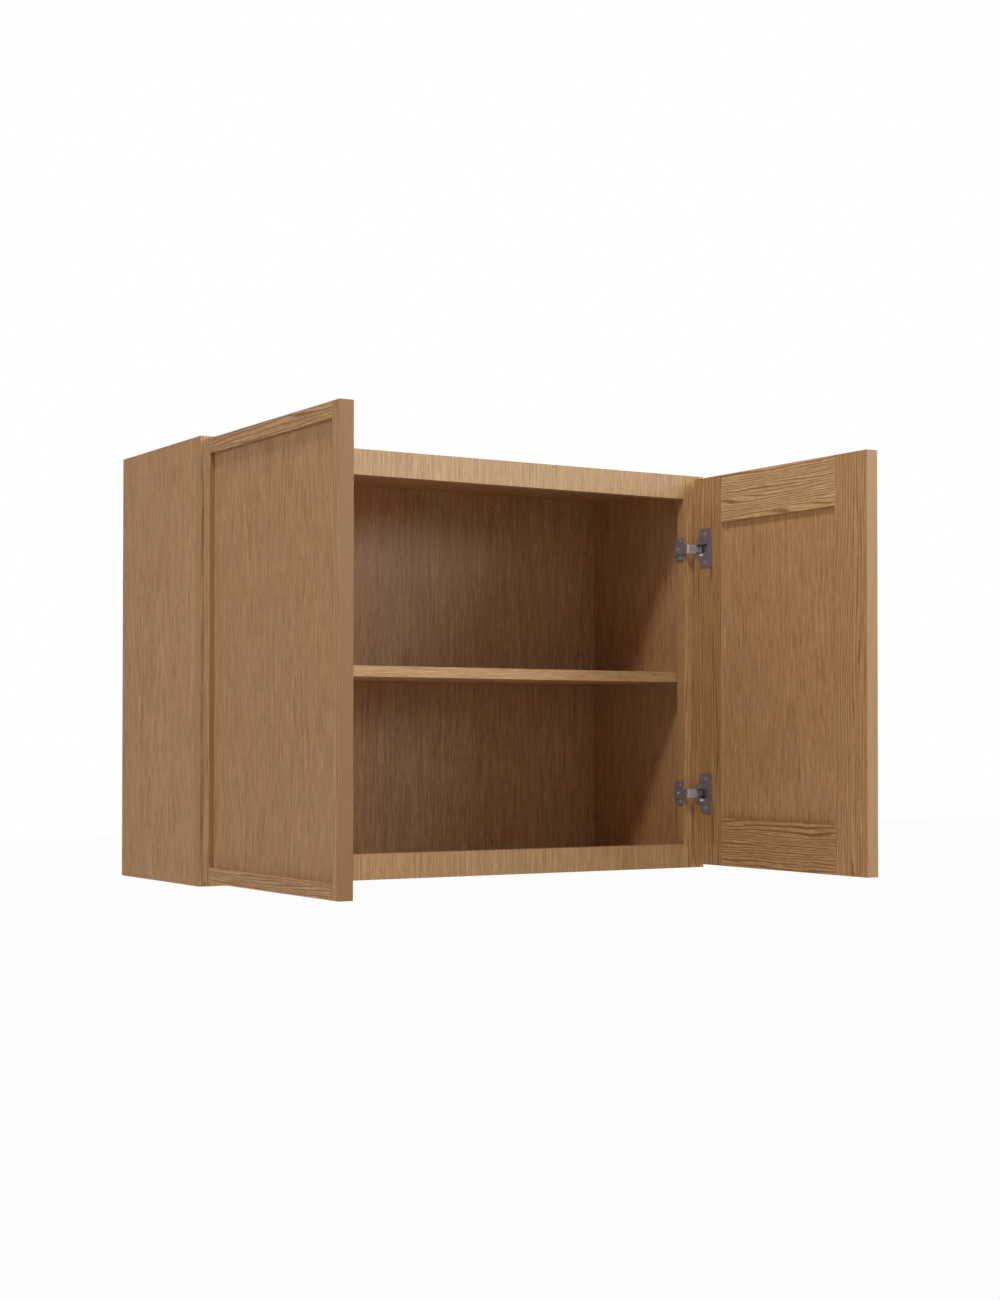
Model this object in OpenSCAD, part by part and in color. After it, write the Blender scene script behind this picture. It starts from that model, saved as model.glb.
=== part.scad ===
/* [Cabinet] */
// Overall width across the face frame
cab_w = 838.2; // [760:0.1:1100]
// Overall height
cab_h = 609.6; // [560:0.1:1000]
// Depth from the wall to the front of the face frame
cab_d = 292.1; // [270:0.1:400]

/* [Carcass] */
// Thickness of the side panels
side_t = 19; // [18:0.5:20]
// Thickness of the top and bottom decks
deck_t = 15; // [15:0.5:18]
// Thickness of the back panel
back_t = 9.5; // [9:0.5:12]
// Depth of the housings in the sides that take the deck ends
housing_d = 6; // [4:0.5:8]
// Width of the rabbet behind the sides that takes the back panel
rabbet_w = 9.5; // [8:0.5:10]

/* [Face frame] */
// Width of the face frame stiles and rails
frame_w = 36.5; // [34:0.5:40]
// Thickness of the face frame
frame_t = 18; // [18:0.5:20]

/* [Doors] */
// Face frame left uncovered around the closed doors
reveal = 6.35; // [6:0.05:6.6]
// Gap between the two closed doors
door_gap = 3.2; // [3:0.1:5]
// Thickness of the doors
door_t = 19; // [19:0.5:20]
// Width of the door frame seen from the front
slim_w = 20.5; // [20:0.5:24]
// Width of the door stiles seen from behind
stile_back_w = 70; // [66:0.5:80]
// Width of the door rails seen from behind
rail_back_w = 72; // [66:0.5:80]
// Depth of the panel below the back of the door frame
back_recess = 6; // [5:0.5:6]
// Thickness of the door panel
panel_t = 6.5; // [6.5:0.5:7]
// Gap between a closed door and the face frame
closed_gap = 3.2; // [3:0.1:3.4]

/* [Shelf] */
// Thickness of the shelf
shelf_t = 15.5; // [15:0.5:19]
// Height of the underside of the shelf above the bottom of the cabinet
shelf_h = 288.5; // [200:0.5:300]
// Distance of the shelf edge behind the front of the face frame
shelf_front = 20; // [19:0.5:24]

/* [Hinges] */
// Distance of each hinge from the top or bottom of the cabinet
hinge_inset = 115.3; // [90:0.1:140]
// Diameter of the hinge cup
cup_d = 35; // [35:0.5:35.5]
// Wood left between the cup and the edge of the door
cup_edge = 3; // [3:0.1:3.2]
// Height of the mounting plate on the face frame
plate_h = 35.6; // [34:0.1:38]
// Height of the flange on the back of the door
flange_h = 61; // [58:0.5:64]

/* [Wall fixing] */
// Spacing of the wall screws across the width, one wall stud to the next
stud_pitch = 406.4; // [400:0.1:600]
// Diameter of the wall screw holes
wall_hole_d = 4.5; // [4:0.1:6]
// Distance of the wall screws from the inner faces of the decks
wall_hole_in = 19; // [15:0.5:40]

/* [Hidden] */

$fn = 48;
eps = 0.5;

oak = [0.72, 0.51, 0.31];
oak_edge = [0.78, 0.60, 0.40];
oak_inside = [0.62, 0.43, 0.27];
birch = [0.80, 0.66, 0.46];
steel_dark = [0.42, 0.40, 0.42];
steel_bright = [0.72, 0.70, 0.71];
zinc = [0.60, 0.58, 0.58];
amber_plastic = [0.55, 0.40, 0.25];

// The origin is the middle of the rear face: X to the right, Y into the wall, Z up.
z_hi = cab_h / 2;
z_lo = -z_hi;
front_y = -cab_d;
box_y = front_y + frame_t;
side_in = cab_w / 2 - side_t;
frame_in = cab_w / 2 - frame_w;
rail_len = 2 * frame_in;
deck_len = 2 * (side_in + housing_d);
deck_depth = cab_d - frame_t - back_t;
back_w = 2 * (side_in + rabbet_w);

// Dowels that join the face frame, two at each corner
dowel_r = 4;
dowel_len = 40;
dowel_bore = dowel_len / 2 + 1;
dowel_half_pitch = 9;
dowel_y = front_y + frame_t / 2;

// Screws that hold the back panel, into the deck ends and the rear edges of the sides
back_screw_r = 1.6;
back_screw_len = 25;
back_head_r = 3.4;
back_head_h = 2.2;
back_screw_xs = [for (i = [-1.5 : 1 : 1.5]) i * cab_w / 4.4];
back_screw_zs = [for (i = [-1 : 1]) i * cab_h / 3.2];
back_screw_side_x = (side_in + rabbet_w + cab_w / 2) / 2 - 1;

wall_hole_z = z_hi - deck_t - wall_hole_in;

// Shelf, pegs and the pockets under the shelf that hide them
shelf_z = z_lo + shelf_h;
shelf_side_gap = 1;
shelf_back_gap = 1.5;
shelf_edge_t = 6;
shelf_half_len = side_in - shelf_side_gap;
shelf_board_y = front_y + shelf_front + shelf_edge_t;
shelf_board_depth = -back_t - shelf_back_gap - shelf_board_y;
peg_r = 2.5;
peg_depth = 10;
paddle_len = 9;
paddle_w = 10;
paddle_t = 3.2;
pocket_clear = 0.5;
peg_front_y = front_y + 55;
peg_rear_y = -60;
peg_z = shelf_z + paddle_t / 2;

// Doors, standing open square to the front. In a door, u runs from the hinge edge to the free
// edge and w from the back of the door to its front.
door_w = (cab_w - 2 * reveal - door_gap) / 2;
door_z_hi = z_hi - reveal;
door_h = 2 * door_z_hi;
open_inset = 21.4;
open_edge_gap = 6.2;
door_back_x = cab_w / 2 - open_inset;
door_edge_y = front_y - open_edge_gap;
panel_front_w = back_recess + panel_t;
panel_play = 0.2;

// The pin: the one axis that carries the door from closed to open
swing_sum = open_inset - reveal;
swing_diff = open_edge_gap - closed_gap;
pin_u = (swing_sum - swing_diff) / 2;
pin_w = (swing_sum + swing_diff) / 2;
pin_x = door_back_x + pin_w;
pin_y = door_edge_y - pin_u;
pin_r = 1;
pin_half_len = 8;
hinge_z = z_hi - hinge_inset;

// Hinge cup
cup_u = cup_edge + cup_d / 2;
cup_depth = 11.3;
cup_floor = 0.38;
cup_slot_u0 = 4.15;
cup_slot_u1 = 9;
cup_slot_u2 = 36;
cup_slot_half_narrow = 5;
cup_slot_half = 7.2;
flange_t = 1;
flange_rim_r = cup_d / 2 + 0.7;
flange_u0 = 16;
flange_u1 = 46;
flange_corner_r = 2;
groove_u0 = 18;
groove_u1 = 35;
groove_z = 10.6;
groove_w = 1.4;
groove_depth = 0.6;
cup_screw_u = cup_u + 9.5;
cup_screw_z = 22.5;
cup_screw_r = 1.6;
cup_screw_len = 10.5;
cup_head_r = 3.3;
cup_head_h = 1.1;

// Switch of the soft-close damper, a small lever beside the arm
switch_u0 = 17;
switch_len = 7.5;
switch_z = -11.6;
switch_w = 3;
switch_t = 1;

// Mounting plate on the inner edge of the face frame stile
plate_t = 1.5;
plate_y0 = front_y + 0.5;
plate_len = 23.5;
plate_corner_r = 2;
plate_screw_y = front_y + 9;
plate_screw_z = 12.6;
plate_screw_r = 1.6;
plate_screw_len = 16;
plate_head_r = 3;
plate_head_h = 1.2;

// Arm: a bent steel strap from the plate round into the cup, ending in an eye on the pin
arm_t = 1.2;
arm_x0 = frame_in - plate_t - arm_t;
arm_foot_half = 8.25;
arm_foot_y0 = front_y - 0.5;
arm_foot_y1 = front_y + 19.5;
arm_half = 6.6;
arm_bend_r = 2.6;
eye_half = 4.5;
eye_r = 1.6;
eye_bore_r = 1.05;
eye_reach = 10.8;
arm_screw_y = front_y + 13;
arm_screw_r = 1.5;
arm_screw_len = 8;
arm_head_r = 3;
arm_head_h = 1.3;

// ---------------------------------------------------------------- helpers

// Mirrors the right-hand piece to the left when side is -1.
module on_side(side) {
    if (side > 0) children();
    else mirror([1, 0, 0]) children();
}

// Turns the upper piece into the lower one when up is -1.
module upside(up) {
    if (up > 0) children();
    else mirror([0, 0, 1]) children();
}

// Box given by its lower and upper limits.
module span_box(x, y, z) {
    translate([x[0], y[0], z[0]])
        cube([x[1] - x[0], y[1] - y[0], z[1] - z[0]]);
}

// Cylinder along +X from the point given.
module rod_x(x, y, z, len, r) {
    translate([x, y, z])
        rotate([0, 90, 0])
            cylinder(h = len, r = r);
}

// Upright rectangle with rounded corners, in the plane of its first two axes.
module soft_rect(x, y, r) {
    translate([x[0] + r, y[0]]) square([x[1] - x[0] - 2 * r, y[1] - y[0]]);
    translate([x[0], y[0] + r]) square([x[1] - x[0], y[1] - y[0] - 2 * r]);
    for (cx = [x[0] + r, x[1] - r], cy = [y[0] + r, y[1] - r])
        translate([cx, cy]) circle(r = r);
}

// Places a door shape: +X along w, -Y along u.
module in_door(side) {
    on_side(side)
        translate([door_back_x, door_edge_y, 0])
            children();
}

// Box in door coordinates.
module door_box(w, u, z) {
    span_box(w, [-u[1], -u[0]], z);
}

// ---------------------------------------------------------------- carcass

// Screw through the back panel, its head flush with the rear face.
module back_screw() {
    rotate([90, 0, 0]) {
        cylinder(h = back_screw_len, r = back_screw_r);
        cylinder(h = back_head_h, r1 = back_head_r, r2 = back_screw_r);
    }
}

module back_screw_set() {
    for (x = back_screw_xs, s = [-1, 1])
        translate([x, 0, s * (z_hi - deck_t / 2)]) back_screw();
    for (z = back_screw_zs, s = [-1, 1])
        translate([s * back_screw_side_x, 0, z]) back_screw();
}

module side_panel(side) {
    color(oak)
        difference() {
            on_side(side)
                difference() {
                    span_box([side_in, cab_w / 2], [box_y, 0], [z_lo, z_hi]);
                    for (z = [[z_lo - eps, z_lo + deck_t], [z_hi - deck_t, z_hi + eps]])
                        span_box([side_in - eps, side_in + housing_d], [box_y - eps, eps], z);
                    span_box([side_in - eps, side_in + rabbet_w], [-back_t, eps], [z_lo - eps, z_hi + eps]);
                    for (y = [peg_front_y, peg_rear_y])
                        rod_x(side_in - eps, y, peg_z, peg_depth + eps, peg_r);
                }
            back_screw_set();
        }
}

module left_side() {
    side_panel(-1);
}

module right_side() {
    side_panel(1);
}

module deck(z0) {
    color(oak_inside)
        difference() {
            span_box([-deck_len / 2, deck_len / 2], [box_y, box_y + deck_depth], [z0, z0 + deck_t]);
            back_screw_set();
        }
}

module top_deck() {
    deck(z_hi - deck_t);
}

module bottom_deck() {
    deck(z_lo);
}

module back_panel() {
    color(oak_inside)
        difference() {
            span_box([-back_w / 2, back_w / 2], [-back_t, 0], [z_lo, z_hi]);
            back_screw_set();
            for (x = [-stud_pitch / 2, stud_pitch / 2], z = [-wall_hole_z, wall_hole_z])
                translate([x, eps, z])
                    rotate([90, 0, 0])
                        cylinder(h = back_t + 2 * eps, d = wall_hole_d);
        }
}

module back_screws() {
    color(steel_dark)
        back_screw_set();
}

// ---------------------------------------------------------------- face frame

// Dowels of one corner; clear lengthens them at both ends for the bores.
module corner_dowels(side, up, clear) {
    for (s = [-1, 1])
        rod_x(
            side * frame_in - dowel_len / 2 - clear,
            dowel_y,
            up * (z_hi - frame_w / 2) + s * dowel_half_pitch,
            dowel_len + 2 * clear,
            dowel_r
        );
}

module frame_dowel_bores() {
    for (side = [-1, 1], up = [-1, 1])
        corner_dowels(side, up, dowel_bore - dowel_len / 2);
}

module frame_stile(side) {
    color(oak)
        difference() {
            on_side(side)
                difference() {
                    span_box([frame_in, cab_w / 2], [front_y, box_y], [z_lo, z_hi]);
                    for (z = [-hinge_z, hinge_z], s = [-1, 1])
                        rod_x(frame_in - eps, plate_screw_y, z + s * plate_screw_z, plate_screw_len + eps, plate_screw_r);
                    for (z = [-hinge_z, hinge_z])
                        rod_x(frame_in - eps, arm_screw_y, z, arm_screw_len + eps, arm_screw_r);
                }
            frame_dowel_bores();
        }
}

module left_frame_stile() {
    frame_stile(-1);
}

module right_frame_stile() {
    frame_stile(1);
}

module frame_rail(up) {
    color(oak)
        difference() {
            span_box(
                [-rail_len / 2, rail_len / 2],
                [front_y, box_y],
                up > 0 ? [z_hi - frame_w, z_hi] : [z_lo, z_lo + frame_w]
            );
            frame_dowel_bores();
        }
}

module top_frame_rail() {
    frame_rail(1);
}

module bottom_frame_rail() {
    frame_rail(-1);
}

module frame_dowels() {
    color(birch)
        for (side = [-1, 1], up = [-1, 1])
            corner_dowels(side, up, 0);
}

// ---------------------------------------------------------------- shelf

module shelf_board() {
    color(oak_inside)
        difference() {
            span_box(
                [-shelf_half_len, shelf_half_len],
                [shelf_board_y, shelf_board_y + shelf_board_depth],
                [shelf_z, shelf_z + shelf_t]
            );
            for (side = [-1, 1], y = [peg_front_y, peg_rear_y])
                on_side(side)
                    span_box(
                        [side_in - paddle_len - pocket_clear, side_in],
                        [y - paddle_w / 2 - pocket_clear, y + paddle_w / 2 + pocket_clear],
                        [shelf_z - eps, shelf_z + paddle_t]
                    );
        }
}

module shelf_edge() {
    color(oak_edge)
        span_box(
            [-shelf_half_len, shelf_half_len],
            [shelf_board_y - shelf_edge_t, shelf_board_y],
            [shelf_z, shelf_z + shelf_t]
        );
}

// Four pegs with flat paddles; each stands in a side and carries one corner of the shelf.
module shelf_pegs() {
    color(amber_plastic)
        for (side = [-1, 1], y = [peg_front_y, peg_rear_y])
            on_side(side) {
                span_box(
                    [side_in - paddle_len, side_in],
                    [y - paddle_w / 2, y + paddle_w / 2],
                    [shelf_z, shelf_z + paddle_t]
                );
                rod_x(side_in - paddle_t, y, peg_z, peg_depth + paddle_t, paddle_t / 2);
                rod_x(side_in, y, peg_z, peg_depth, peg_r);
            }
}

// ---------------------------------------------------------------- hinges, cabinet side

module hinge_plate(side, z) {
    color(steel_dark)
        on_side(side)
            translate([0, 0, z])
                difference() {
                    translate([frame_in - plate_t, plate_y0, 0])
                        rotate([90, 0, 90])
                            linear_extrude(plate_t)
                                soft_rect([0, plate_len], [-plate_h / 2, plate_h / 2], plate_corner_r);
                    for (s = [-1, 1])
                        rod_x(frame_in - plate_t - eps, plate_screw_y, s * plate_screw_z, plate_t + 2 * eps, plate_screw_r);
                    rod_x(frame_in - plate_t - eps, arm_screw_y, 0, plate_t + 2 * eps, arm_screw_r);
                }
}

// Outline of the strap seen from above, from the foot to the bend.
module arm_outline_foot() {
    translate([arm_x0, arm_foot_y0])
        square([arm_t, arm_foot_y1 - arm_foot_y0]);
}

// Outline of the strap in front of the face frame, round the bend to the narrow part.
module arm_outline_strap() {
    bend_x = arm_x0 + arm_bend_r;
    bend_y = pin_y - arm_t / 2 + arm_bend_r;
    translate([arm_x0, bend_y])
        square([arm_t, arm_foot_y0 - bend_y]);
    intersection() {
        difference() {
            translate([bend_x, bend_y]) circle(r = arm_bend_r);
            translate([bend_x, bend_y]) circle(r = arm_bend_r - arm_t);
        }
        translate([arm_x0, pin_y - arm_t / 2])
            square([arm_bend_r, arm_bend_r]);
    }
    translate([bend_x, pin_y - arm_t / 2])
        square([pin_x - eye_reach - bend_x, arm_t]);
}

// Outline of the narrow part with the eye that takes the pin.
module arm_outline_eye() {
    difference() {
        union() {
            translate([pin_x - eye_reach, pin_y - arm_t / 2])
                square([eye_reach, arm_t]);
            translate([pin_x, pin_y]) circle(r = eye_r);
        }
        translate([pin_x, pin_y]) circle(r = eye_bore_r);
    }
}

module hinge_arm(side, z) {
    color(steel_bright)
        on_side(side)
            translate([0, 0, z]) {
                difference() {
                    translate([0, 0, -arm_foot_half])
                        linear_extrude(2 * arm_foot_half) arm_outline_foot();
                    rod_x(arm_x0 - eps, arm_screw_y, 0, arm_t + 2 * eps, arm_screw_r);
                }
                translate([0, 0, -arm_half])
                    linear_extrude(2 * arm_half) arm_outline_strap();
                translate([0, 0, -eye_half])
                    linear_extrude(2 * eye_half) arm_outline_eye();
            }
}

module hinge_plate_left_upper() {
    hinge_plate(-1, hinge_z);
}

module hinge_plate_left_lower() {
    hinge_plate(-1, -hinge_z);
}

module hinge_plate_right_upper() {
    hinge_plate(1, hinge_z);
}

module hinge_plate_right_lower() {
    hinge_plate(1, -hinge_z);
}

module hinge_arm_left_upper() {
    hinge_arm(-1, hinge_z);
}

module hinge_arm_left_lower() {
    hinge_arm(-1, -hinge_z);
}

module hinge_arm_right_upper() {
    hinge_arm(1, hinge_z);
}

module hinge_arm_right_lower() {
    hinge_arm(1, -hinge_z);
}

// Wood screws that hold the plates to the face frame stiles.
module plate_screws() {
    color(steel_bright)
        for (side = [-1, 1], z = [-hinge_z, hinge_z], s = [-1, 1])
            on_side(side) {
                rod_x(frame_in - plate_t, plate_screw_y, z + s * plate_screw_z, plate_t + plate_screw_len, plate_screw_r);
                rod_x(frame_in - plate_t - plate_head_h, plate_screw_y, z + s * plate_screw_z, plate_head_h, plate_head_r);
            }
}

// Screws that clamp the arms to the plates.
module arm_screws() {
    color(steel_bright)
        for (side = [-1, 1], z = [-hinge_z, hinge_z])
            on_side(side) {
                rod_x(arm_x0, arm_screw_y, z, arm_t + plate_t + arm_screw_len, arm_screw_r);
                rod_x(arm_x0 - arm_head_h, arm_screw_y, z, arm_head_h, arm_head_r);
            }
}

// ---------------------------------------------------------------- hinges, door side

// Everything that the cup of one hinge removes from the wood.
module cup_bore(z) {
    rod_x(-eps, -cup_u, z, cup_depth + eps, cup_d / 2);
    for (s = [-1, 1])
        rod_x(-eps, -cup_screw_u, z + s * cup_screw_z, cup_screw_len + eps, cup_screw_r);
}

module cup_bores() {
    for (z = [-hinge_z, hinge_z])
        cup_bore(z);
}

module hinge_cup(side, z) {
    slot_w = [-flange_t - eps, cup_depth - cup_floor];
    color(zinc)
        in_door(side)
            translate([0, 0, z])
                difference() {
                    union() {
                        rod_x(0, -cup_u, 0, cup_depth, cup_d / 2);
                        rod_x(-flange_t, -cup_u, 0, flange_t, flange_rim_r);
                        translate([-flange_t, 0, 0])
                            rotate([90, 0, 90])
                                linear_extrude(flange_t)
                                    soft_rect([-flange_u1, -flange_u0], [-flange_h / 2, flange_h / 2], flange_corner_r);
                    }
                    door_box(slot_w, [cup_slot_u0, cup_slot_u1 + eps], [-cup_slot_half_narrow, cup_slot_half_narrow]);
                    door_box(slot_w, [cup_slot_u1, cup_slot_u2], [-cup_slot_half, cup_slot_half]);
                    door_box(
                        [-flange_t - eps, -flange_t + groove_depth],
                        [groove_u0, groove_u1],
                        [groove_z, groove_z + groove_w]
                    );
                    translate([pin_w, -pin_u, -pin_half_len])
                        cylinder(h = 2 * pin_half_len, r = pin_r);
                    for (s = [-1, 1])
                        rod_x(-flange_t - eps, -cup_screw_u, s * cup_screw_z, flange_t + 2 * eps, cup_screw_r);
                }
}

module hinge_cup_left_upper() {
    hinge_cup(-1, hinge_z);
}

module hinge_cup_left_lower() {
    hinge_cup(-1, -hinge_z);
}

module hinge_cup_right_upper() {
    hinge_cup(1, hinge_z);
}

module hinge_cup_right_lower() {
    hinge_cup(1, -hinge_z);
}

module hinge_pins(side) {
    color(steel_bright)
        on_side(side)
            for (z = [-hinge_z, hinge_z])
                translate([pin_x, pin_y, z - pin_half_len])
                    cylinder(h = 2 * pin_half_len, r = pin_r);
}

module left_hinge_pins() {
    hinge_pins(-1);
}

module right_hinge_pins() {
    hinge_pins(1);
}

module cup_screws(side) {
    color(steel_bright)
        in_door(side)
            for (z = [-hinge_z, hinge_z], s = [-1, 1]) {
                rod_x(-flange_t, -cup_screw_u, z + s * cup_screw_z, flange_t + cup_screw_len, cup_screw_r);
                rod_x(-flange_t - cup_head_h, -cup_screw_u, z + s * cup_screw_z, cup_head_h, cup_head_r);
            }
}

module left_cup_screws() {
    cup_screws(-1);
}

module right_cup_screws() {
    cup_screws(1);
}

module damper_switches(side) {
    color(steel_bright)
        in_door(side)
            for (z = [-hinge_z, hinge_z])
                door_box(
                    [-flange_t - switch_t, -flange_t],
                    [switch_u0, switch_u0 + switch_len],
                    [z + switch_z, z + switch_z + switch_w]
                );
}

module left_damper_switches() {
    damper_switches(-1);
}

module right_damper_switches() {
    damper_switches(1);
}

// ---------------------------------------------------------------- doors

// Full-height stile: a thick slim bar at the edge and a wide lip behind the panel.
module door_stile_body() {
    door_box([0, door_t], [0, slim_w], [-door_z_hi, door_z_hi]);
    door_box([0, back_recess], [0, stile_back_w], [-door_z_hi, door_z_hi]);
}

module hinge_stile(side) {
    color(oak)
        in_door(side)
            difference() {
                door_stile_body();
                cup_bores();
            }
}

module free_stile(side) {
    color(oak)
        in_door(side)
            translate([0, -door_w, 0])
                mirror([0, 1, 0])
                    door_stile_body();
}

// Rail: its slim bar laps over the lips of the stiles, its own lip lies between them.
module door_rail(side, up) {
    color(oak)
        in_door(side)
            upside(up) {
                door_box([back_recess, door_t], [slim_w, door_w - slim_w], [door_z_hi - slim_w, door_z_hi]);
                door_box([0, back_recess], [stile_back_w, door_w - stile_back_w], [door_z_hi - rail_back_w, door_z_hi]);
            }
}

module door_panel(side) {
    panel_z = door_z_hi - slim_w - panel_play;
    color(oak)
        in_door(side)
            difference() {
                door_box(
                    [back_recess, panel_front_w],
                    [slim_w + panel_play, door_w - slim_w - panel_play],
                    [-panel_z, panel_z]
                );
                cup_bores();
            }
}

module left_door_hinge_stile() {
    hinge_stile(-1);
}

module left_door_free_stile() {
    free_stile(-1);
}

module left_door_top_rail() {
    door_rail(-1, 1);
}

module left_door_bottom_rail() {
    door_rail(-1, -1);
}

module left_door_panel() {
    door_panel(-1);
}

module right_door_hinge_stile() {
    hinge_stile(1);
}

module right_door_free_stile() {
    free_stile(1);
}

module right_door_top_rail() {
    door_rail(1, 1);
}

module right_door_bottom_rail() {
    door_rail(1, -1);
}

module right_door_panel() {
    door_panel(1);
}

// ---------------------------------------------------------------- nodes

left_side();
right_side();
top_deck();
bottom_deck();
back_panel();
back_screws();
left_frame_stile();
right_frame_stile();
top_frame_rail();
bottom_frame_rail();
frame_dowels();
shelf_board();
shelf_edge();
shelf_pegs();
hinge_plate_left_upper();
hinge_plate_left_lower();
hinge_plate_right_upper();
hinge_plate_right_lower();
hinge_arm_left_upper();
hinge_arm_left_lower();
hinge_arm_right_upper();
hinge_arm_right_lower();
plate_screws();
arm_screws();
left_door_hinge_stile();
left_door_free_stile();
left_door_top_rail();
left_door_bottom_rail();
left_door_panel();
hinge_cup_left_upper();
hinge_cup_left_lower();
left_hinge_pins();
left_cup_screws();
left_damper_switches();
right_door_hinge_stile();
right_door_free_stile();
right_door_top_rail();
right_door_bottom_rail();
right_door_panel();
hinge_cup_right_upper();
hinge_cup_right_lower();
right_hinge_pins();
right_cup_screws();
right_damper_switches();
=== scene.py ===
"""Looks of the hanging wall cabinet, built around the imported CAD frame.

Metres throughout; +X is right, +Y is into the wall and +Z is up.
"""
import math

import bpy
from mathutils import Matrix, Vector


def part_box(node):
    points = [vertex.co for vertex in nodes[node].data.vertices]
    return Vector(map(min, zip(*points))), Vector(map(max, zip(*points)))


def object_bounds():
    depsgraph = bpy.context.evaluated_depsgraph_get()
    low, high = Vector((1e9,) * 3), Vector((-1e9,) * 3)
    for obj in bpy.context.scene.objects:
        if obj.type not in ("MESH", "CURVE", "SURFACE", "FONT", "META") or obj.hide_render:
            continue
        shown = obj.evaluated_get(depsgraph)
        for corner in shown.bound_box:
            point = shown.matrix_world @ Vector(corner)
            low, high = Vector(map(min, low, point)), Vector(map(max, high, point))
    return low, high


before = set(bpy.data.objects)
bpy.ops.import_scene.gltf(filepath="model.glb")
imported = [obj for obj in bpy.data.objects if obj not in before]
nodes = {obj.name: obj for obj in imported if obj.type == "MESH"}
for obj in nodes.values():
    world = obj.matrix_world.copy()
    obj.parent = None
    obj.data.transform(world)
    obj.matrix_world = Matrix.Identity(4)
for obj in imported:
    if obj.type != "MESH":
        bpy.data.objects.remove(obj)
cad_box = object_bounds()


# ------------------------------------------------------------------ camera
CAMERA_POS = (-1.532, -2.976, -0.109)
CAMERA_YAW = 0.569
CAMERA_PITCH = 0.018
LENS_MM = 58.7
SENSOR_MM = 36.0
SHIFT = (-0.059, 0.041)
CLIP = (0.05, 60.0)


def make_camera():
    data = bpy.data.cameras.new("camera")
    data.lens = LENS_MM
    data.sensor_width = SENSOR_MM
    data.sensor_fit = "AUTO"
    data.shift_x, data.shift_y = SHIFT
    data.clip_start, data.clip_end = CLIP
    cam = bpy.data.objects.new("camera", data)
    cam.location = CAMERA_POS
    cam.rotation_euler = (math.pi / 2 + CAMERA_PITCH, 0.0, -CAMERA_YAW)
    bpy.context.scene.collection.objects.link(cam)
    bpy.context.scene.camera = cam


# ------------------------------------------------------------------ node helpers
class Tree:
    """Short hand for building one shader node tree."""

    def __init__(self, name):
        self.material = bpy.data.materials.new(name)
        self.material.use_nodes = True
        self.tree = self.material.node_tree
        self.tree.nodes.clear()
        self.out = self.add("ShaderNodeOutputMaterial")
        self.shader = self.add("ShaderNodeBsdfPrincipled")
        self.link(self.shader.outputs["BSDF"], self.out.inputs["Surface"])

    def add(self, kind, **props):
        node = self.tree.nodes.new(kind)
        for key, value in props.items():
            setattr(node, key, value)
        return node

    def link(self, source, target):
        self.tree.links.new(source, target)

    def feed(self, socket, value):
        if isinstance(value, bpy.types.NodeSocket):
            self.link(value, socket)
        else:
            socket.default_value = value

    def math(self, op, a, b=0.0, c=0.0, clamp=False):
        node = self.add("ShaderNodeMath", operation=op, use_clamp=clamp)
        for socket, value in zip(node.inputs, (a, b, c)):
            self.feed(socket, value)
        return node.outputs[0]

    def centred(self, factor, weight, base):
        """Add a weighted factor to base, less its middle, so that it takes away as much as it adds."""
        return self.math("MULTIPLY_ADD", self.math("SUBTRACT", factor, 0.5), weight, base)

    def vector(self, x, y, z):
        node = self.add("ShaderNodeCombineXYZ")
        for socket, value in zip(node.inputs, (x, y, z)):
            self.feed(socket, value)
        return node.outputs[0]

    def noise(self, vector, detail):
        node = self.add("ShaderNodeTexNoise")
        self.feed(node.inputs["Vector"], vector)
        node.inputs["Scale"].default_value = 1.0
        node.inputs["Detail"].default_value = detail
        node.inputs["Roughness"].default_value = 0.5
        return node.outputs["Fac"]

    def scaled_noise(self, pos, scales, detail):
        """Noise with its own scale, in cycles a metre, along each axis."""
        return self.noise(self.vector(*(self.math("MULTIPLY", p, s) for p, s in zip(pos, scales))), detail)

    def even_noise(self, pos, scale, detail):
        return self.scaled_noise(pos, (scale, scale, scale), detail)

    def ramp(self, factor, low, high):
        """0 at low and 1 at high, smooth between them. low may be the greater one."""
        node = self.add("ShaderNodeMapRange")
        node.interpolation_type = "SMOOTHSTEP"
        node.clamp = True
        self.feed(node.inputs["Value"], factor)
        node.inputs["From Min"].default_value = low
        node.inputs["From Max"].default_value = high
        return node.outputs["Result"]

    def mix(self, factor, a, b):
        node = self.add("ShaderNodeMix", data_type="RGBA")
        self.feed(node.inputs["Factor"], factor)
        for socket, value in ((node.inputs[6], a), (node.inputs[7], b)):
            self.feed(socket, value if isinstance(value, bpy.types.NodeSocket) else (*value, 1.0))
        return node.outputs[2]

    def bump(self, height, strength, distance):
        node = self.add("ShaderNodeBump")
        node.inputs["Strength"].default_value = strength
        node.inputs["Distance"].default_value = distance
        self.link(height, node.inputs["Height"])
        self.link(node.outputs["Normal"], self.shader.inputs["Normal"])

    def axes(self, output):
        node = self.add("ShaderNodeTexCoord")
        split = self.add("ShaderNodeSeparateXYZ")
        self.link(node.outputs[output], split.inputs[0])
        return [split.outputs[i] for i in range(3)]


def shade(tone, factor):
    """A tone made lighter or darker, by one factor or by one for each channel."""
    factors = factor if isinstance(factor, tuple) else (factor, factor, factor)
    return tuple(min(1.0, c * k) for c, k in zip(tone, factors))


def shades(tone, factors):
    return [shade(tone, factor) for factor in factors]


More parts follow.
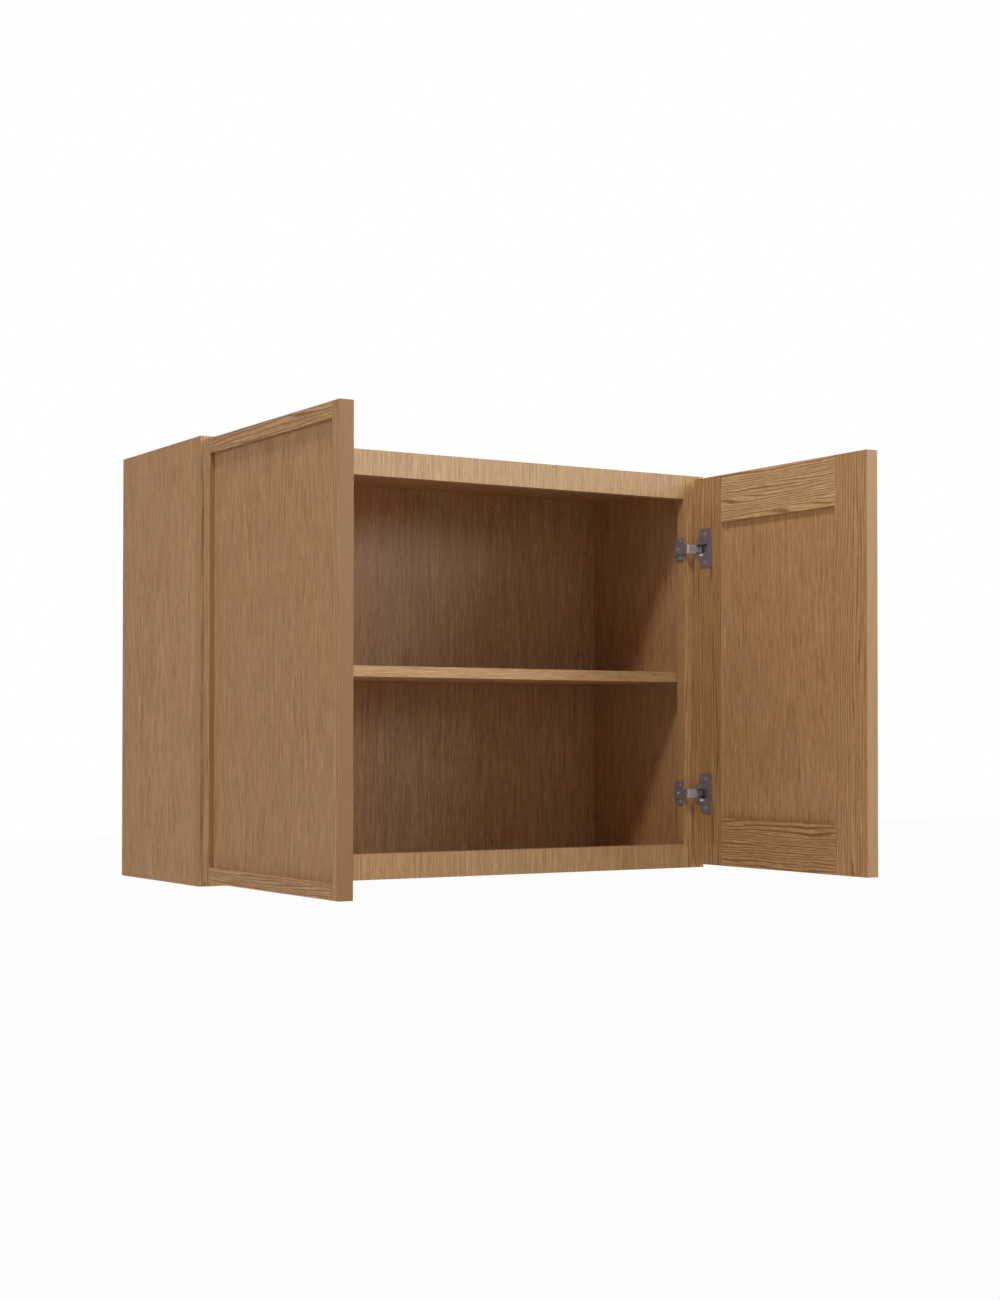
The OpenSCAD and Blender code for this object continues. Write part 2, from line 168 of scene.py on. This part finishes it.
# ------------------------------------------------------------------ oak
# Each field of the figure: cycles a metre across the grain and along it, detail, and its own offset along.
SWAY = (6.0, 3.0, 1.0, 2.2)
RIPPLE = (26.0, 22.0, 1.0, 9.1)
FIBRES = (950.0, 40.0, 1.0, 1.9)
STREAKS = (430.0, 15.0, 2.0, 7.7)
RINGS = (100.0, 4.0, 2.0, 3.1)
DASHES = (520.0, 64.0, 1.0, 5.3)
PORES = (1500.0, 60.0, 1.0, 4.4)
JITTER = (55.0, 3.0, 1.0, 6.6)
FLECKS = (240.0, 30.0, 1.0, 8.3)
CLUSTERS = (11.0, 5.0, 1.0, 0.7)
CLOUDS = (10.0, 2.0, 1.0, 4.9)

# How strongly each layer moves the tone at a weight of 1, where 0 is the darkest wood and 1 the lightest.
RING_REACH = 0.62
STREAK_REACH = 0.62
FIBRE_REACH = 0.42
LINE_REACH = 0.55
LINE_LIFT = 0.095  # gives back the mean that the lines take away
FLECK_REACH = 0.42
CLOUD_REACH = 3.0
SWAY_REACH = 4.0  # slow sway of the grain, in units of wander

LEAF_WIDTH = 0.19  # of one sheet of veneer
ARCH_SLOPE = 0.085  # how much of a step along the grain counts as a step across the rings
ARCH_CENTRE = 0.045  # puts the middle of the arches about half a metre towards the low end
ARCH_RINGS = 270.0  # rings a metre
LEAF_OFFSET = 9.0  # keeps a folded coordinate above zero, as LINE_OFFSET does
LINE_OFFSET = 400.0
LINE_JITTER = 5.0  # how far the pore lines stray from even spacing, in lines
HALF_COURSE = 0.5
LINE_LEAST = 0.4  # depth left where a line is broken

# Where a field turns from nothing to full: the value at each end of the step.
PORE_EDGE = (0.60, 0.72)
LINE_EDGE = (0.23, 0.02)
LINE_BREAKS = (0.30, 0.62)
FLECK_EDGE = (0.62, 0.70)
CLUSTER_EDGE = (0.42, 0.60)
SPECK_EDGE = (0.4, 0.7)
PATCHY_EDGE = (0.35, 0.65)
BEVEL_EDGE = (0.99, 0.75)

# Shades of a tone, as factors on it.
DARK_WOOD = (0.60, 0.50, 0.41)
LIGHT_WOOD = (1.40, 1.50, 1.59)
PORE_WOOD = (0.45, 0.36, 0.28)
END_WOOD = (0.84, 0.55)
EDGE_STREAKS = (0.90, 1.10)
# The next three lighten the bevelled edges: handling wears them, and a painted highlight runs along them.
WORN_AND_LIT_WOOD = 1.45
WEAR_AND_HIGHLIGHT_LEAST = 0.15
WEAR_AND_HIGHLIGHT_SPREAD = 0.30
PORE_COVER = 0.34
SPECK_SCALE = 900.0
PATCHY_SCALE = 30.0

OAK_ROUGHNESS = 0.44
STREAK_GLOSS = 0.20
PORE_GLOSS = 0.16
LACQUER_IOR = 1.5
COAT_WEIGHT = 0.10
COAT_ROUGHNESS = 0.30
PORE_DEPTH = 0.9
FIBRE_HEIGHT = 0.5
OAK_BUMP = (0.30, 0.0004)  # strength, and distance in metres
FACING = 0.7  # least part of the normal on an axis, for a face that looks along it


def grain_field(t, across, along, layer):
    across_scale, along_scale, detail, offset = layer
    spots = [t.math("MULTIPLY", c, across_scale) for c in across]
    return t.noise(t.vector(*spots, t.math("MULTIPLY_ADD", along, along_scale, offset)), detail)


def pore_lines(t, value, across, along, dashes, weight, pitch):
    """Bands of pores at nearly even spacing, each broken up and of its own depth."""
    jitter = grain_field(t, across, along, JITTER)
    jitter = t.math("MULTIPLY", jitter, LINE_JITTER)
    course = t.math("MULTIPLY_ADD", t.math("ADD", *across), 1.0 / pitch, jitter)
    depth = t.ramp(t.math("PINGPONG", t.math("ADD", course, LINE_OFFSET), HALF_COURSE), *LINE_EDGE)
    broken = t.ramp(dashes, *LINE_BREAKS)
    depth = t.math("MULTIPLY", depth, t.math("MULTIPLY_ADD", broken, 1.0 - LINE_LEAST, LINE_LEAST))
    value = t.math("MULTIPLY_ADD", depth, -LINE_REACH * weight, value)
    return t.math("ADD", value, LINE_LIFT * weight)


def flecks(t, value, across, straight, along, weight):
    """Short dark marks in loose clusters."""
    marks = t.ramp(grain_field(t, across, along, FLECKS), *FLECK_EDGE)
    cluster = t.ramp(grain_field(t, straight, along, CLUSTERS), *CLUSTER_EDGE)
    return t.math("MULTIPLY_ADD", t.math("MULTIPLY", marks, cluster), -FLECK_REACH * weight, value)


def arches(t, value, across, along, seed, weight):
    """Plain-sliced leaves: rings cut at a low angle, which show as tall arches."""
    leaf = t.math("PINGPONG", t.math("ADD", t.math("ADD", *across), LEAF_OFFSET), LEAF_WIDTH / 2)
    rise = t.math("MULTIPLY_ADD", along, ARCH_SLOPE, ARCH_CENTRE)
    radius = t.math("SQRT", t.math("ADD", t.math("MULTIPLY", leaf, leaf), t.math("MULTIPLY", rise, rise)))
    growth = t.noise(t.vector(t.math("MULTIPLY", radius, ARCH_RINGS), seed, 0.0), 1.0)
    return t.centred(growth, weight, value)


def wear_and_highlight(t, pos, normal, tone, colour):
    """Lighten the bevelled edges unevenly: handling wears them, and a painted highlight runs along them.
    """
    squares = [t.math("MULTIPLY", n, n) for n in normal]
    widest = t.math("MAXIMUM", t.math("MAXIMUM", squares[0], squares[1]), squares[2])
    worn_and_lit = t.ramp(widest, *BEVEL_EDGE)
    patchy = t.ramp(t.even_noise(pos, PATCHY_SCALE, 2.0), *PATCHY_EDGE)
    worn_and_lit = t.math("MULTIPLY", worn_and_lit, t.math("MULTIPLY_ADD", patchy, WEAR_AND_HIGHLIGHT_SPREAD, WEAR_AND_HIGHLIGHT_LEAST))
    return t.mix(worn_and_lit, colour, shade(tone, WORN_AND_LIT_WOOD))


def faces(t, normal, axis):
    return t.math("GREATER_THAN", t.math("ABSOLUTE", normal["XYZ".index(axis)]), FACING)


def oak(name, tone, grain, seed=0.0, edge_axis=None, edge_tone=None, fine=1.0, ring=1.0, line=0.0,
        line_pitch=0.005, fleck=0.0, dash=0.35, arch=0.0, wander=0.004, patch=0.10):
    """Lacquered oak. grain is the axis the fibres follow and tone is the mean colour of the surface.

    fine, ring, line, fleck, dash, arch and patch weigh the layers of the figure. wander is how far a line
    strays and line_pitch is the spacing of the pore lines, both in metres.
    """
    t = Tree(name)
    pos = t.axes("Object")
    normal = t.axes("Normal")
    order = {"X": (1, 2, 0), "Y": (0, 2, 1), "Z": (0, 1, 2)}[grain]
    straight = [t.math("ADD", pos[order[0]], seed), t.math("ADD", pos[order[1]], seed * 0.7)]
    along = pos[order[2]]

    drift = t.math("SUBTRACT", grain_field(t, straight, along, SWAY), 0.5)
    drift = t.math("MULTIPLY", drift, wander * SWAY_REACH)
    drift = t.centred(grain_field(t, straight, along, RIPPLE), wander, drift)
    across = [t.math("ADD", c, drift) for c in straight]

    fibres = grain_field(t, across, along, FIBRES)
    streaks = grain_field(t, across, along, STREAKS)
    dashes = grain_field(t, across, along, DASHES)
    pores = t.ramp(grain_field(t, across, along, PORES), *PORE_EDGE)
    value = t.centred(grain_field(t, across, along, RINGS), RING_REACH * ring, 0.5)
    value = t.centred(streaks, STREAK_REACH * fine, value)
    value = t.centred(fibres, FIBRE_REACH * fine, value)
    value = t.centred(dashes, dash, value)
    if line:
        value = pore_lines(t, value, across, along, dashes, line, line_pitch)
    if fleck:
        value = flecks(t, value, across, straight, along, fleck)
    if arch:
        value = arches(t, value, across, along, seed, arch)
    value = t.centred(grain_field(t, straight, along, CLOUDS), patch * CLOUD_REACH, value)
    value = t.math("ADD", value, 0.0, clamp=True)

    colour = t.mix(value, shade(tone, DARK_WOOD), shade(tone, LIGHT_WOOD))
    colour = t.mix(t.math("MULTIPLY", pores, PORE_COVER), colour, shade(tone, PORE_WOOD))
    if edge_axis:
        plain = t.mix(streaks, *shades(edge_tone, EDGE_STREAKS))
        colour = t.mix(faces(t, normal, edge_axis), colour, plain)
    speck = t.ramp(t.even_noise(pos, SPECK_SCALE, 1.0), *SPECK_EDGE)
    end_wood = t.mix(speck, *shades(tone, END_WOOD))
    colour = t.mix(faces(t, normal, grain), colour, end_wood)
    # Bevelled edges lightened: handling wears them, and a painted highlight runs along them.
    t.link(wear_and_highlight(t, pos, normal, tone, colour), t.shader.inputs["Base Color"])

    gloss = t.centred(streaks, STREAK_GLOSS, OAK_ROUGHNESS)
    t.link(t.math("MULTIPLY_ADD", pores, PORE_GLOSS, gloss), t.shader.inputs["Roughness"])
    t.shader.inputs["IOR"].default_value = LACQUER_IOR
    t.shader.inputs["Coat Weight"].default_value = COAT_WEIGHT
    t.shader.inputs["Coat Roughness"].default_value = COAT_ROUGHNESS
    height = t.math("MULTIPLY_ADD", pores, -PORE_DEPTH, t.math("MULTIPLY", fibres, FIBRE_HEIGHT))
    t.bump(height, *OAK_BUMP)
    return t.material


# ------------------------------------------------------------------ metal and plastic
BRUSH_SCALES = (2600.0, 2600.0, 160.0)  # brushed along Z
CLOUD_SCALE = 120.0
# The painted highlight tone in metal() steps in over this width.
HIGHLIGHT_EDGE = 0.0008  # width of the step from one tone to the other
METAL_CLOUDS = (0.86, 1.10)
# Cloudiness of the painted highlight tone.
HIGHLIGHT_CLOUDS = (0.92, 1.06)
METAL_BUMP = (0.10, 0.0002)
MOULD_SCALE = 1500.0
MOULD_CLOUDS = (0.9, 1.1)
MOULD_BUMP = (0.15, 0.0001)


def metal(name, tone, rough, metallic=0.6, highlight_tone=None, highlight_before=0.0):
    """Plated steel, faintly brushed and cloudy. The optional second tone is a painted highlight, shown
    where Y is less than the limit given with it.
    """
    t = Tree(name)
    pos = t.axes("Object")
    brushed = t.scaled_noise(pos, BRUSH_SCALES, 2.0)
    cloud = t.even_noise(pos, CLOUD_SCALE, 3.0)
    colour = t.mix(cloud, *shades(tone, METAL_CLOUDS))
    if highlight_tone:
        ahead = t.ramp(pos[1], highlight_before, highlight_before - HIGHLIGHT_EDGE)
        colour = t.mix(ahead, colour, t.mix(cloud, *shades(highlight_tone, HIGHLIGHT_CLOUDS)))
    t.link(colour, t.shader.inputs["Base Color"])
    gloss = t.centred(brushed, 0.25, rough)
    t.link(t.centred(cloud, 0.15, gloss), t.shader.inputs["Roughness"])
    t.shader.inputs["Metallic"].default_value = metallic
    t.bump(brushed, *METAL_BUMP)
    return t.material


def plastic(name, tone):
    t = Tree(name)
    grain = t.even_noise(t.axes("Object"), MOULD_SCALE, 2.0)
    t.link(t.mix(grain, *shades(tone, MOULD_CLOUDS)), t.shader.inputs["Base Color"])
    t.link(t.math("MULTIPLY_ADD", grain, 0.15, 0.25), t.shader.inputs["Roughness"])
    t.bump(grain, *MOULD_BUMP)
    return t.material


# ------------------------------------------------------------------ finishes
OAK = (0.455, 0.25, 0.11)
# Boards of one cabinet are never quite the same tone, so pieces that differ from OAK have their own.
TONES = {
    "left_side": (0.49, 0.265, 0.12),
    "right_side": (0.45, 0.26, 0.12),
    "shelf_edge": (0.455, 0.27, 0.12),
    "top_frame_rail": (0.47, 0.29, 0.14),
    "bottom_frame_rail": (0.435, 0.25, 0.105),
    "left_frame_stile": (0.48, 0.27, 0.115),
    "right_frame_stile": (0.48, 0.27, 0.11),
    "left_door_panel": (0.45, 0.24, 0.105),
    "right_door_panel": (0.485, 0.265, 0.11),
    "right_door_hinge_stile": (0.41, 0.22, 0.085),
    "right_door_free_stile": (0.47, 0.255, 0.105),
    "right_door_top_rail": (0.525, 0.315, 0.14),
    "right_door_bottom_rail": (0.45, 0.235, 0.095),
}
# The narrow sides of a stile are plainer and of another tone: the axis they look along, and the tone.
EDGES = {
    "left_door": ("Y", (0.345, 0.17, 0.065)),
    "right_door": ("Y", (0.475, 0.285, 0.135)),
    "frame": ("X", (0.44, 0.24, 0.105)),
}
VENEER = dict(fine=1.8, ring=0.12, fleck=0.6, dash=0.6, arch=0.36, wander=0.0011, patch=0.02)
FRAME_RAIL = dict(fine=1.7, ring=0.15, dash=0.35, wander=0.0006, patch=0.02)
FRAME_STILE = dict(fine=1.8, ring=0.10, line=0.9, line_pitch=0.0048, dash=0.5, wander=0.0006, patch=0.02)
DOOR_STILE = dict(fine=1.7, ring=0.05, line=1.4, line_pitch=0.0050, dash=0.5, wander=0.0007, patch=0.01)
DOOR_RAIL = dict(fine=1.7, ring=0.05, line=2.0, line_pitch=0.0044, dash=0.9, wander=0.0014, patch=0.02)
SHELF_EDGE = dict(fine=1.2, ring=0.7, dash=0.6)
DOWEL = dict(fine=0.5, ring=0.3, dash=0.1)
FIRST_SEED = 1.3
SEED_STEP = 2.17


def wood_plans():
    """Name, grain axis, figure and kind of edge of each wooden piece. Their order sets their seeds."""
    plans = [(name, "Z", VENEER, None) for name in
             ("left_side", "right_side", "back_panel", "left_door_panel", "right_door_panel")]
    plans += [(name, "X", VENEER, None) for name in ("top_deck", "bottom_deck", "shelf_board")]
    plans += [("shelf_edge", "X", SHELF_EDGE, None)]
    plans += [(f"{which}_frame_rail", "Z", FRAME_RAIL, None) for which in ("top", "bottom")]
    plans += [(f"{which}_frame_stile", "Z", FRAME_STILE, "frame") for which in ("left", "right")]
    for door in ("left_door", "right_door"):
        plans += [(f"{door}_{which}_stile", "Z", DOOR_STILE, door) for which in ("hinge", "free")]
        plans += [(f"{door}_{which}_rail", "Y", DOOR_RAIL, None) for which in ("top", "bottom")]
    return plans


def wood_finishes():
    looks = {}
    for number, (name, grain, figure, edge) in enumerate(wood_plans()):
        edge_axis, edge_tone = EDGES.get(edge, (None, None))
        seed = FIRST_SEED + SEED_STEP * number
        looks[name] = oak(f"oak_{name}", TONES.get(name, OAK), grain, seed, edge_axis, edge_tone, **figure)
    return looks


STRAP_START = 0.0022  # the hinge arm's strap is brighter, a painted highlight, and starts this far behind the arm's front


def finishes():
    looks = wood_finishes()
    # Painted shade: the hinge plates and cups get a darker copy of the nickel, as if they stood in shade.
    dark = metal("nickel_dark", (0.30, 0.285, 0.31), 0.44)
    # Painted highlight: the arms get a lighter copy of the nickel, and the strap's front a lighter tone
    # still.
    arm_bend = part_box("hinge_arm_right_upper")[0][1] + STRAP_START
    bright = metal("nickel_bright", (0.36, 0.345, 0.37), 0.38,
                   highlight_tone=(0.80, 0.72, 0.75), highlight_before=arm_bend)
    screw = metal("screw_steel", (0.50, 0.48, 0.51), 0.26)
    tab = metal("tab_steel", (0.90, 0.90, 0.90), 0.40, metallic=0.2)
    peg = plastic("amber_plastic", (0.30, 0.16, 0.06))
    dowel = oak("birch_dowel", (0.60, 0.44, 0.26), "X", **DOWEL)
    for name in nodes:
        if name in looks:
            continue
        if name == "frame_dowels":
            looks[name] = dowel
        elif name == "shelf_pegs":
            looks[name] = peg
        elif name.startswith(("hinge_plate", "hinge_cup")):
            looks[name] = dark
        elif name.startswith("hinge_arm"):
            looks[name] = bright
        elif name.endswith("switches"):
            looks[name] = tab
        else:
            looks[name] = screw
    return looks


# Width of the softened edges by a word in the piece's name. The first word that fits counts.
BEVELS = (("screws", 0.0002), ("pins", 0.0002), ("dowels", 0.0002), ("pegs", 0.0002),
          ("door", 0.0008), ("frame", 0.0004), ("shelf_", 0.0006), ("side", 0.0005), ("deck", 0.0005),
          ("back_panel", 0.0005), ("hinge_plate", 0.0003), ("hinge_cup", 0.0003), ("hinge_arm", 0.0003))
BEVEL_ANGLE = math.radians(40)


def dress():
    looks = finishes()
    for name, obj in nodes.items():
        obj.data.materials.clear()
        obj.data.materials.append(looks[name])
        width = next((w for key, w in BEVELS if key in name), 0.0)
        if width:
            bevel = obj.modifiers.new("soft_edges", "BEVEL")
            bevel.width = width
            bevel.segments = 2
            bevel.limit_method = "ANGLE"
            bevel.angle_limit = BEVEL_ANGLE
            bevel.use_clamp_overlap = True


# ------------------------------------------------------------------ stage and light
HANG_HEIGHT = 1.37  # from the floor to the underside, as wall cabinets usually hang
FLOOR_SIZE = 60.0
FLOOR_MOTTLE = 6.0
FLOOR_PAINT = (0.93, 0.95)
FLOOR_SEEN = (0.96, 0.985)


def grey(level):
    return (level, level, level)


def make_stage():
    low = cad_box[0]
    bpy.ops.mesh.primitive_plane_add(size=FLOOR_SIZE, location=(0.0, 0.0, low[2] - HANG_HEIGHT))
    floor = bpy.context.object
    floor.name = "floor"
    t = Tree("floor_paint")
    mottle = t.even_noise(t.axes("Object"), FLOOR_MOTTLE, 2.0)
    t.link(t.mix(mottle, *map(grey, FLOOR_PAINT)), t.shader.inputs["Base Color"])
    t.shader.inputs["Roughness"].default_value = 1.0
    # The floor bounces light like white paint, and is seen as evenly lit as the backdrop.
    lit = t.add("ShaderNodeEmission")
    t.link(t.mix(mottle, *map(grey, FLOOR_SEEN)), lit.inputs["Color"])
    path = t.add("ShaderNodeLightPath")
    seen = t.add("ShaderNodeMixShader")
    t.link(path.outputs["Is Camera Ray"], seen.inputs[0])
    t.link(t.shader.outputs["BSDF"], seen.inputs[1])
    t.link(lit.outputs["Emission"], seen.inputs[2])
    t.link(seen.outputs["Shader"], t.out.inputs["Surface"])
    floor.data.materials.append(t.material)


AIM = (0.0, -0.3, 0.0)
LIGHT_DISTANCE = 3.5
# name, turn to the right of straight ahead, height above the horizon (both in degrees), diameter, power
LIGHTS = (
    ("key", -38, 56.5, 0.7, 62.0),
    ("left_fill", -85, 15, 2.0, 32.0),
    ("front_fill", 0, 15, 2.0, 10.0),
    ("low_front_fill", 28, 14, 1.0, 17.0),
    ("right_fill", 65, 45, 1.5, 81.0),
    ("rear_fill", 160, 35, 2.0, 40.0),
    ("low_rear_fill", 150, -18, 2.0, 20.0),
)
WORLD_FILL = 0.15  # how strongly the surroundings light the object
WORLD_SEEN = 1.0  # how bright they look to the camera


def make_lights():
    for name, turn, height, size, power in LIGHTS:
        turn, height = math.radians(turn), math.radians(height)
        ahead = math.cos(height)
        away = Vector((math.sin(turn) * ahead, -math.cos(turn) * ahead, math.sin(height)))
        data = bpy.data.lights.new(name, "AREA")
        data.shape = "DISK"
        data.size = size
        data.energy = power
        light = bpy.data.objects.new(name, data)
        light.location = Vector(AIM) + away * LIGHT_DISTANCE
        light.rotation_euler = away.to_track_quat("Z", "Y").to_euler()
        light.visible_camera = False
        bpy.context.scene.collection.objects.link(light)


def make_world():
    world = bpy.data.worlds.new("studio")
    bpy.context.scene.world = world
    world.use_nodes = True
    tree = world.node_tree
    tree.nodes.clear()
    out = tree.nodes.new("ShaderNodeOutputWorld")
    path = tree.nodes.new("ShaderNodeLightPath")
    mix = tree.nodes.new("ShaderNodeMixShader")
    tree.links.new(path.outputs["Is Camera Ray"], mix.inputs[0])
    for number, strength in enumerate((WORLD_FILL, WORLD_SEEN), start=1):
        glow = tree.nodes.new("ShaderNodeBackground")
        glow.inputs["Color"].default_value = (*grey(1.0), 1.0)
        glow.inputs["Strength"].default_value = strength
        tree.links.new(glow.outputs[0], mix.inputs[number])
    tree.links.new(mix.outputs[0], out.inputs[0])


view = bpy.context.scene.view_settings
view.view_transform = "Standard"
view.look = "None"
make_camera()
make_stage()
dress()
make_lights()
make_world()
